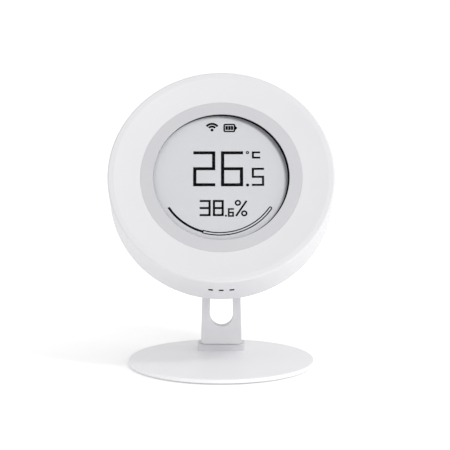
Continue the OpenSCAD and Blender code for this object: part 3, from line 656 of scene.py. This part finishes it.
def figure(sign, low, high, width):
    """A sign's bars: its paths stretched over the box between low and high, each end drawn on by
    half a width."""
    low, high = np.asarray(low) + width / 2, np.asarray(high) - width / 2
    bars = []
    for path in FIGURES[sign]:
        path = low + np.array(path) * (1, 0.5) * (high - low)
        ends = path[[0, -1]] - path[[1, -2]]
        path[[0, -1]] += ends / np.linalg.norm(ends, axis=1)[:, None] * width / 2
        bars.append(stroke(path, width))
    return bars


print("signs:", " ".join(FIGURES))

# %% Temperature and humidity
LARGE, MEDIUM, SMALL, FINE = 1.15, 0.78, 0.7, 0.58
reading = [
    *figure("2", (-9.92, -3.2), (-2.12, 10.2), LARGE),
    *figure("6", (-0.12, -3.2), (7.68, 10.2), LARGE),
    spot(ring_outline((9.24, -2.72), 0.56, 24)),
    *figure("5", (10.74, -3.05), (15.07, 3.87), MEDIUM),
    stroke(ring_outline((9.24, 9.72), 0.4, 24), 0.36, True),
    *figure("C", (10.82, 7.42), (13.75, 10.14), SMALL)]
moisture = [
    *figure("3", (-7.57, -14.48), (-3.7, -8.4), MEDIUM),
    *figure("8", (-2.95, -14.48), (0.88, -8.4), MEDIUM),
    spot(ring_outline((1.61, -14.35), 0.38, 24)),
    *figure("6", (2.32, -14.72), (4.42, -11.5), FINE),
    *(stroke(ring_outline(at, 0.82, 32), 0.6, True) for at in ((5.81, -9.48), (8.03, -13.44))),
    stroke([(5.15, -14.45), (8.88, -8.65)], 0.66)]
figures = solid("display_figures", *reading, *moisture)
finish_piece(figures, "head", "black_plastic", segment_ink)

# %% Signal, charge and the curved scale
SIGNAL_AT = (-3.31, 18.45)
SCALE_AT, SCALE_R, SCALE_HALF, SCALE_BAR, SCALE_LINE = (-0.55, 0.0), 21.1, 0.45, 0.8, 0.4
SCALE_START, SCALE_LEVEL, SCALE_END = -148.0, -106.0, -33.0
signal = [spot(ring_outline(SIGNAL_AT, 0.55, 24))]
signal += [stroke(bend(SIGNAL_AT, r, 36, 144), 0.78) for r in (1.36, 2.4)]
charge = [stroke(box_outline((1.02, 17.9), (4.68, 20.62), 0.35, 4), 0.56, True)]
charge += [stroke([(x, 18.5), (x, 20.02)], 0.84) for x in (1.9, 2.85, 3.8)]
charge_tip = [(4.75, 18.45), (5.0, 18.45), (5.72, 19.25), (5.0, 20.05), (4.75, 20.05)]
charge += [spot(np.array(charge_tip))]
tip = bend(SCALE_AT, SCALE_R, SCALE_END, SCALE_END, 1)[0]
tube = np.concatenate([
    bend(SCALE_AT, SCALE_R + SCALE_HALF, SCALE_LEVEL, SCALE_END, 61),
    bend(tip, SCALE_HALF, SCALE_END + 20, SCALE_END + 160, 9),
    bend(SCALE_AT, SCALE_R - SCALE_HALF, SCALE_END, SCALE_LEVEL, 61)])
level_bar = bend(SCALE_AT, SCALE_R, SCALE_START, SCALE_LEVEL, 41)
scale = [stroke(level_bar, SCALE_BAR), stroke(tube, SCALE_LINE, True)]
signs = solid("display_signs", *signal, *charge, *scale)
finish_piece(signs, "head", "black_plastic", segment_ink)

# %% [markdown]
# The panel's border is a ring of black print. Its inner circle is shifted off centre, so that it
# shows as a fine dark line at the top and on the right, and is hidden at the lower left. The print
# is real; that dark line is painted shade, standing for the shade of the bezel's inner wall.

# %% Dark border of the panel
# The inner circle's shift places the painted shade line at the top and on the right
BORDER_SHADE_SHIFT, BORDER_IN, BORDER_OUT, BORDER_STEPS = (-0.4, 0.2), 23.8, 25.15, 200


def border_ring():
    """Two circles, the inner one shifted, joined by a flat thin band."""
    inner = ring_outline(BORDER_SHADE_SHIFT, BORDER_IN, BORDER_STEPS)
    outer = ring_outline((0, 0), BORDER_OUT, BORDER_STEPS)
    flat = np.stack([inner, outer, outer, inner])
    depth = np.array([INK_S, INK_S, PANEL_S, PANEL_S])[:, None]
    points = on_face(flat[..., 0], flat[..., 1], depth + 0 * flat[..., 0])
    return points.reshape(-1, 3), quads(4, BORDER_STEPS, True, True)


border = solid("display_border", border_ring())
finish_piece(border, "head", "black_plastic", segment_ink)

# %% [markdown]
# ## Base
#
# The base is a steel disc cut from sheet, with its edges eased so that the paint holds, on a thin
# rubber pad that stops it from sliding. Both are spun sections.

# %% Base plate and foot pad
BASE_R, PAD_R, BASE_LOW, BASE_TOP = 33.0, 31.0, 0.5, 1.9
base_corners = [(0.0, BASE_LOW), (BASE_R, BASE_LOW), (BASE_R, BASE_TOP), (0.0, BASE_TOP)]
base_section = rounded(base_corners, [0, 0.3, 0.35, 0])
base = solid("base_plate_dressed", spin(base_section, on_table, turns=300))
finish_piece(base, "stand", "white_metal", base_paint, "base_plate")
pad_corners = [(0.0, 0.0), (PAD_R, 0.0), (PAD_R, BASE_LOW), (0.0, BASE_LOW)]
pad = solid("foot_pad_dressed", spin(rounded(pad_corners, [0, 0.15, 0.1, 0]), on_table, turns=200))
finish_piece(pad, "stand", "grey_rubber", pad_rubber, "foot_pad")

# %% [markdown]
# ## Hinge block
#
# A low block screwed to the base carries two small ears. The arm's foot stands over it with a thin
# gap, and its knuckle turns between the ears. Block and ears are outlines carried through levels,
# joined into one piece.

# %% Hinge block
BLOCK_HALF, BLOCK_FRONT, BLOCK_BACK, BLOCK_TOP = 8.55, 12.4, 20.2, 4.4
LEAN_Y, LEAN_Z, LEAN_EAR_R, LEAN_EAR_IN, LEAN_EAR_OUT = 17.9, 6.7, 2.2, 4.05, 6.95
EAR_ROOT = BLOCK_TOP - 0.6

# How much less than half a width two arcs take, so that they don't meet in one point
ARC_EASE = 0.01


def ears(name, outline, inner, outer, edge_r):
    """Two plates of one outline in the side view of the stand, mirrored across its middle."""
    return [
        solid(name, stack(outline, round_edges(*ends, edge_r, edge_r), beside_stand))
        for ends in ((-outer, -inner), (inner, outer))]


block_plan = box_outline((-BLOCK_HALF, BLOCK_FRONT), (BLOCK_HALF, BLOCK_BACK), 0.6)
block = solid(
    "hinge_block_dressed", stack(block_plan, round_edges(BASE_TOP, BLOCK_TOP, 0, 0.35), on_table))
ear_side = rounded(
    [(LEAN_Y - LEAN_EAR_R, EAR_ROOT), (LEAN_Y + LEAN_EAR_R, EAR_ROOT),
     (LEAN_Y + LEAN_EAR_R, LEAN_Z + LEAN_EAR_R), (LEAN_Y - LEAN_EAR_R, LEAN_Z + LEAN_EAR_R)],
    [0, 0, LEAN_EAR_R - ARC_EASE, LEAN_EAR_R - ARC_EASE], 14)
combine(block, ears("lean_ear", ear_side, LEAN_EAR_IN, LEAN_EAR_OUT, 0.3), "UNION")
finish_piece(block, "stand", "white_plastic", white_abs, "hinge_block")

# %% [markdown]
# ## Arm
#
# From the front the arm is a fork: a foot with round lower corners, two prongs, and a gap with a
# round floor. Its edges are eased. Two ears at the top take the tilt pin, and a knuckle behind the
# foot turns on the lean pin. Drawing the fork as one outline keeps its front a single flat face,
# which is what catches the light.

# %% Arm
ARM_Y, ARM_FRONT, ARM_BACK, FOOT_Z, FOOT_HALF = 13.1, 10.9, 15.3, 4.7, 7.4
TILT_Z, EAR_R, EAR_IN, EAR_OUT = 39.553, 3.2, 3.6, 6.5
SLOT_Z, SLOT_HALF, SLOT_SIDE_Z = 11.3, 4.33, 35.353
KNUCKLE_R, KNUCKLE_HALF, KNUCKLE_ROOT = 2.1, 3.75, ARM_BACK - 1.0
KNUCKLE_BACK, KNUCKLE_HEEL = 20.1, 1.47
fork = rounded(
    [(-FOOT_HALF, FOOT_Z), (FOOT_HALF, FOOT_Z), (EAR_OUT, TILT_Z), (EAR_IN, TILT_Z),
     (EAR_IN, SLOT_SIDE_Z), (SLOT_HALF, SLOT_Z), (-SLOT_HALF, SLOT_Z), (-EAR_IN, SLOT_SIDE_Z),
     (-EAR_IN, TILT_Z), (-EAR_OUT, TILT_Z)],
    [1.2, 1.2, 0.5, 0.5, 0, 4.2, 4.2, 0, 0.5, 0.5], 16)
arm = solid("arm_dressed", stack(fork, round_edges(ARM_FRONT, ARM_BACK, 0.35, 0.35), before_stand))
ear_round = ring_outline((ARM_Y, TILT_Z), EAR_R, 72)
tilt_ears = ears("tilt_ear", ear_round, EAR_IN, EAR_OUT, 0.35)
knuckle_side = rounded(
    [(KNUCKLE_ROOT, LEAN_Z - KNUCKLE_R), (KNUCKLE_BACK, LEAN_Z - KNUCKLE_HEEL),
     (KNUCKLE_BACK, LEAN_Z), (KNUCKLE_BACK - 0.1, LEAN_Z + KNUCKLE_R),
     (KNUCKLE_ROOT, LEAN_Z + KNUCKLE_R)],
    [0, 0.4, 0, 2.0, 0], 12)
knuckle_levels = round_edges(-KNUCKLE_HALF, KNUCKLE_HALF, 0.3, 0.3)
knuckle = solid("lean_knuckle", stack(knuckle_side, knuckle_levels, beside_stand))
combine(arm, tilt_ears + [knuckle], "UNION")
finish_piece(arm, "arm", "white_plastic", white_abs, "arm")

# %% [markdown]
# ## Back of the head
#
# The rear cover is a shallow cup with a flat back. Three deep wells hide its screws, a recess takes
# the battery door, a round hole takes the button and a square one lets the hinge lug out. The cup
# is spun, the battery bay is joined to it, and each opening is cut with a tool whose rim flares, so
# that the edge it leaves is round.

# %% Rear cover
BACK_S, BACK_IN, DOOR_S, SPIGOT_S = 23.25, 21.45, 21.85, 16.5
COVER_R, SPIGOT_R, COVER_IN_R = 36.4, 35.5, 33.7
cover_corners = [
    (0.0, BACK_S), (COVER_R, BACK_S), (COVER_R, SHELL_S), (SPIGOT_R, SHELL_S), (SPIGOT_R, SPIGOT_S),
    (COVER_IN_R, SPIGOT_S), (COVER_IN_R, BACK_IN), (0.0, BACK_IN)]
cover_section = rounded(cover_corners, [0, 1.5, 0.1, 0, 0.2, 0.2, 0.5, 0], 8)
cover = solid("rear_cover_dressed", spin(cover_section, on_face))
print(cover.name, "is spun from", len(cover_section), "points")

# %% Bay, wells and openings of the cover
BAY_LOW, BAY_HIGH, BAY_FLOOR, BAY_WALL = np.array([-24.5, -7.8]), np.array([24.5, 14.2]), 10.85, 1.4
WELL_RING, WELL_R, WELL_OUT, WELL_FLOOR, WELL_FOOT = 32.1, 2.0, 3.0, 14.25, 8.6
BUTTON_RING, BUTTON_TURN, BUTTON_HOLE_R = 27.8, 120, 3.15
DOOR_LOW, DOOR_HIGH = np.array([-25.7, -9.0]), np.array([25.7, 15.4])
DOOR_CORNER, DOOR_GAP = 2.5, 0.15
TILT_P, LUG_HOLE_X, LUG_HOLE_P, HOLE_S = -17.0, 3.4, 3.2, 20.4


def around(radius, degrees):
    """A place on the face at a distance and an angle from its middle."""
    angle = np.radians(degrees)
    return radius * np.array([np.cos(angle), np.sin(angle)])


def face_stack(name, outline, levels):
    """An object from an outline drawn on the face and levels of depth."""
    return solid(name, stack(outline, levels, on_face))


wells = [around(WELL_RING, degrees) for degrees in (90, 210, 330)]
button_at = around(BUTTON_RING, BUTTON_TURN)
bay_outline = box_outline(BAY_LOW - BAY_WALL, BAY_HIGH + BAY_WALL, 0.8)
lug_hole = box_outline((-LUG_HOLE_X, TILT_P - LUG_HOLE_P), (LUG_HOLE_X, TILT_P + LUG_HOLE_P), 0.15)
door_hole = box_outline(DOOR_LOW, DOOR_HIGH, DOOR_CORNER)
tube_levels, well_levels = straight(WELL_FOOT, DOOR_S), flared(WELL_FLOOR, BACK_S, 0.3)
posts = [face_stack("bay_block", bay_outline, straight(BAY_FLOOR - 1.2, DOOR_S))]
posts += [face_stack("well_tube", ring_outline(at, WELL_OUT), tube_levels) for at in wells]
combine(cover, posts, "UNION")
cuts = [
    face_stack("bay_cut", box_outline(BAY_LOW, BAY_HIGH, 0.4), straight(BAY_FLOOR, BACK_S + 1)),
    face_stack("door_cut", door_hole, flared(DOOR_S, BACK_S, 0.25)),
    face_stack("lug_cut", lug_hole, flared(HOLE_S, BACK_S, 0.25)),
    face_stack("button_cut", ring_outline(button_at, BUTTON_HOLE_R), flared(HOLE_S, BACK_S, 0.3))]
cuts += [face_stack("well_cut", ring_outline(at, WELL_R), well_levels) for at in wells]
combine(cover, cuts, "DIFFERENCE")
finish_piece(cover, "head", "white_plastic", white_abs, "rear_cover")

# %% [markdown]
# The door is a thin plate with three grip grooves near its upper edge, where a thumb pushes it. The
# button has a shallow hollow for a fingertip. The lug is a block with a round end that fits between
# the arm's ears.

# %% Door and button
GROOVE_P, GROOVE_HALF, GROOVE_W, GROOVE_S = (12.6, 11.0, 9.4), 6.0, 0.8, 22.85


def groove(p):
    """A cut across the door at a height p, with a flared rim."""
    low, high = (-GROOVE_HALF, p - GROOVE_W / 2), (GROOVE_HALF, p + GROOVE_W / 2)
    return face_stack("groove_cut", box_outline(low, high, 0.35), flared(GROOVE_S, BACK_S, 0.2))


door = face_stack(
    "battery_door_dressed", box_outline(DOOR_LOW + DOOR_GAP, DOOR_HIGH - DOOR_GAP, DOOR_CORNER),
    round_edges(DOOR_S, BACK_S, 0.1, 0.25))
combine(door, [groove(p) for p in GROOVE_P], "DIFFERENCE")
finish_piece(door, "door", "white_plastic", white_abs, "battery_door")

STEM_R, STEM_S, RIM_R, RIM_S, CAP_R, CAP_S = 1.6, 13.15, 3.8, (20.5, 21.3), 3.0, 23.55
HOLLOW_R, HOLLOW_MID_R, HOLLOW_MID, HOLLOW_DEPTH = 2.3, 1.2, 0.08, 0.11
button_corners = [
    (0.0, STEM_S), (STEM_R, STEM_S), (STEM_R, RIM_S[0]), (RIM_R, RIM_S[0]), (RIM_R, RIM_S[1]),
    (CAP_R, RIM_S[1]), (CAP_R, CAP_S), (HOLLOW_R, CAP_S), (HOLLOW_MID_R, CAP_S - HOLLOW_MID),
    (0.0, CAP_S - HOLLOW_DEPTH)]
button_radii = [0, 0.2, 0.1, 0.1, 0.1, 0, 0.35, 0.4, 0.6, 0]
button_section = rounded(button_corners, button_radii)
button = solid("rear_button_dressed", spin(button_section, on_face, button_at, 72))
finish_piece(button, "button", "white_plastic", white_abs, "rear_button")

# %% Hinge lug
TILT_S, LUG_HALF, LUG_R, LUG_S = 27.85, 3.3, 3.1, 19.45
FLANGE_X, FLANGE_P = 9.0, 6.0
lug_side = rounded(
    [(LUG_S, TILT_P - LUG_R), (TILT_S + LUG_R, TILT_P - LUG_R), (TILT_S + LUG_R, TILT_P + LUG_R),
     (LUG_S, TILT_P + LUG_R)],
    [0, LUG_R - ARC_EASE, LUG_R - ARC_EASE, 0], 16)
lug_levels = round_edges(-LUG_HALF, LUG_HALF, 0.3, 0.3)
lug = solid("hinge_lug_dressed", stack(lug_side, lug_levels, beside_head))
flange = face_stack(
    "lug_flange", box_outline((-FLANGE_X, TILT_P - FLANGE_P), (FLANGE_X, TILT_P + FLANGE_P), 0.6),
    round_edges(LUG_S, BACK_IN, 0.2, 0.2))
combine(lug, [flange], "UNION")
finish_piece(lug, "head", "white_plastic", white_abs, "hinge_lug")

# %% [markdown]
# ## Cells and metal
#
# With the door off, two cells and their contacts show. A cell is a steel can in a printed sleeve,
# rolled in at both ends, with a nub at one. Turned and drawn steel has fine marks round it, which
# spread its highlights.

# %% Steel, sleeve and board finishes
MARK_MM, MARK_STRETCH = 0.12, 8


def worked_steel(name, pale, deep, rough):
    """Steel with fine marks: noise stretched along x shifts the tone and the roughness."""
    material, tree, place = finish_tree(name)
    stretch = {"Scale": (1 / MARK_STRETCH, 1.0, 1.0)}
    along = node(tree, "ShaderNodeMapping", stretch, {"Vector": place})
    mark = noise(tree, (along, "Vector"), MARK_MM, 3.0)
    return surfaced(material, {"Metallic": 1.0}, {
        "Base Color": two_tone(tree, mark, deep, pale),
        "Roughness": spread(tree, mark, rough - 0.08, rough + 0.1)})


bright_steel = worked_steel("nickelled_steel", "#D9D8D4", "#B9B8B4", 0.28)
cell_sleeve = moulded("printed_cell_sleeve", "#3F5560", "#37505C", 0.3, 1.5, 0.004, IOR=1.5)
board_lacquer = moulded("green_board_lacquer", "#1F6B4A", "#17573C", 0.35, 0.6, 0.01, IOR=1.5)
chip_epoxy = moulded("black_chip_epoxy", "#26272A", "#1C1D20", 0.55, 0.3, 0.01, IOR=1.55)
soft_rubber = moulded("grey_washer_rubber", "#77787B", "#67686B", 0.7, 0.4, 0.02, IOR=1.5)
print("metal and board:", bright_steel.name, cell_sleeve.name, board_lacquer.name, chip_epoxy.name)

# %% Battery cells
CELL_S, CELL_R, CELL_TIP, CELL_TAIL = 16.35, 5.25, 23.6, -20.9
CAN_R, CAN_TIP, NUB_R, SLEEVE_IN_R = 4.7, CELL_TIP - 0.8, 1.9, 4.3


def cell(name, p, way):
    """A can and its sleeve spun about a line across the head: section (r, x), with way 1 or -1 for
    the nub's side."""

    def across(a, b, x):
        """A place about the cell's line, with the nub's end to its own side."""
        return on_face(way * x, p + a, CELL_S + b)

    can = [
        (0.0, CELL_TAIL), (CAN_R, CELL_TAIL), (CAN_R, CAN_TIP), (NUB_R, CAN_TIP), (NUB_R, CELL_TIP),
        (0.0, CELL_TIP)]
    sleeve = box_outline(
        (SLEEVE_IN_R, CELL_TAIL + 0.1), (CELL_R, CELL_TIP - 0.9), [0.3, 0.7, 0.7, 0.3], 6)
    body = solid(name + "_can", spin(rounded(can, [0, 0.4, 0.4, 0.1, 0.3, 0]), across, turns=72))
    finish_piece(body, "head", "cell_can", bright_steel, name)
    wrap = solid(name + "_sleeve", spin(sleeve, across, turns=72))
    finish_piece(wrap, "head", "cell_can", cell_sleeve)


cell("upper_cell", 8.7, -1)
cell("lower_cell", -2.3, 1)

# %% [markdown]
# The solids that are left are inside the head or are small turned parts whose shape is already
# right: pins, washers, screws, contacts, the board and its chips. They stay as they are, and each
# gets the finish of its material slot.

# %% Finishes for the solids that stay
SLOT_FINISH = {
    "white_plastic": white_abs, "grey_plastic": grey_abs, "white_metal": base_paint,
    "clear_window": window_clear, "display_glass": panel_film, "grey_rubber": soft_rubber,
    "green_board": board_lacquer, "black_plastic": chip_epoxy, "steel": bright_steel,
    "cell_can": bright_steel}
kept = [solid_node for solid_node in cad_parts.values() if not solid_node.hide_render]
for solid_node in kept:
    for place in solid_node.material_slots:
        place.material = SLOT_FINISH[place.material.name]
print("solids kept with a new finish:", len(kept))

# %% [markdown]
# ## Floor, light and camera
#
# The picture was taken on a white sweep, so bright that its shadows are washed out. A large pale
# floor does the same here, with a glow that grows with the distance from the object, so that the
# base keeps a little shade of its own. A small lamp high on the right and a broad low one beside it
# make the drum brighter on the right, a lamp near the camera reaches the stand under the head, and
# the pale room fills the rest. The camera stands far off with a long lens.

# %% Floor
FLOOR_R, FLOOR_RINGS, FLOOR_TURNS, FLOOR_Z = 9000.0, 24, 96, -0.02
FLOOR_CLOUD_MM, GLOW, GLOW_NEAR, GLOW_FAR = 180, 0.32, -70, 140


def floor_disc():
    """A flat disc: radii that grow as squares, so that the middle is finer, times angles all
    round."""
    radius = FLOOR_R * np.linspace(0, 1, FLOOR_RINGS) ** 2
    points, _ = spin(np.stack([radius, 0 * radius + FLOOR_Z], 1), on_table, turns=FLOOR_TURNS)
    return points, quads(FLOOR_TURNS, FLOOR_RINGS, True, False)


def pale_paper(name, pale, deep):
    """Paper: slow clouds of tone, mostly diffuse, with a glow that climbs with the distance from
    the object."""
    material, tree, place = finish_tree(name)
    away = node(tree, "ShaderNodeVectorMath", links={0: place}, operation="LENGTH")
    cloud = noise(tree, place, FLOOR_CLOUD_MM, 2.0)
    values = {"Roughness": 0.9, "Specular IOR Level": 0.1, "Emission Color": shade("#FFFFFF")}
    return surfaced(material, values, {
        "Base Color": two_tone(tree, cloud, deep, pale),
        "Emission Strength": climb(tree, (away, "Value"), GLOW_NEAR, GLOW_FAR, GLOW)})


floor = solid("studio_floor", floor_disc())
if floor.data.polygons[0].normal.z < 0:
    floor.data.flip_normals()
floor.data.materials.append(pale_paper("pale_sweep_paper", "#FDFDFD", "#FAFAFA"))
print("floor faces:", len(floor.data.polygons))

# %% Light
LAMP_AIM, LAMP_FROM, ROOM_LIGHT = np.array([0.0, 0.0, 55.0]), 1300, 0.73
scene = bpy.context.scene


def soft_lamp(name, turn, height, width, power):
    """Square lamp at an angle to the right of the front and above the table, aimed at the head."""
    a, e = np.radians(turn), np.radians(height)
    away = np.array([np.sin(a) * np.cos(e), -np.cos(a) * np.cos(e), np.sin(e)])
    data = bpy.data.lights.new(name, "AREA")
    data.size, data.energy = width * MM, power
    lamp = bpy.data.objects.new(name, data)
    lamp.location = (LAMP_AIM + LAMP_FROM * away) * MM
    lamp.rotation_euler = Vector(-away).to_track_quat("-Z", "Y").to_euler()
    scene.collection.objects.link(lamp)


soft_lamp("key_lamp", 54, 48, 170, 3.0)
soft_lamp("side_lamp", 80, 15, 700, 2.8)
soft_lamp("front_lamp", 18, 20, 400, 2.2)
scene.world = bpy.data.worlds.new("pale_room")
scene.world.use_nodes = True
room = scene.world.node_tree.nodes["Background"]
room.inputs["Color"].default_value = shade("#FFFFFF")
room.inputs["Strength"].default_value = ROOM_LIGHT
scene.view_settings.view_transform = "Standard"

# %% Camera
CAMERA_FROM, CAMERA_PITCH, CAMERA_X, CAMERA_AIM_Z = 655.0, np.radians(8.625), 1.3, 50.106
LENS_PIXELS, FRAME_PIXELS, SENSOR = 1852.8, 450.0, 36.0
look = np.array([0.0, np.cos(CAMERA_PITCH), -np.sin(CAMERA_PITCH)])
camera_data = bpy.data.cameras.new("studio_camera")
camera_data.sensor_width = SENSOR
camera_data.lens = LENS_PIXELS / FRAME_PIXELS * SENSOR
camera_data.clip_start, camera_data.clip_end = 0.05, 50.0
camera = bpy.data.objects.new("studio_camera", camera_data)
camera.location = (np.array([CAMERA_X, 0.0, CAMERA_AIM_Z]) - CAMERA_FROM * look) * MM
camera.rotation_euler = Vector(look).to_track_quat("-Z", "Y").to_euler()
scene.collection.objects.link(camera)
scene.camera = camera
print("lens of", round(camera_data.lens, 1), "mm at", CAMERA_FROM, "mm")
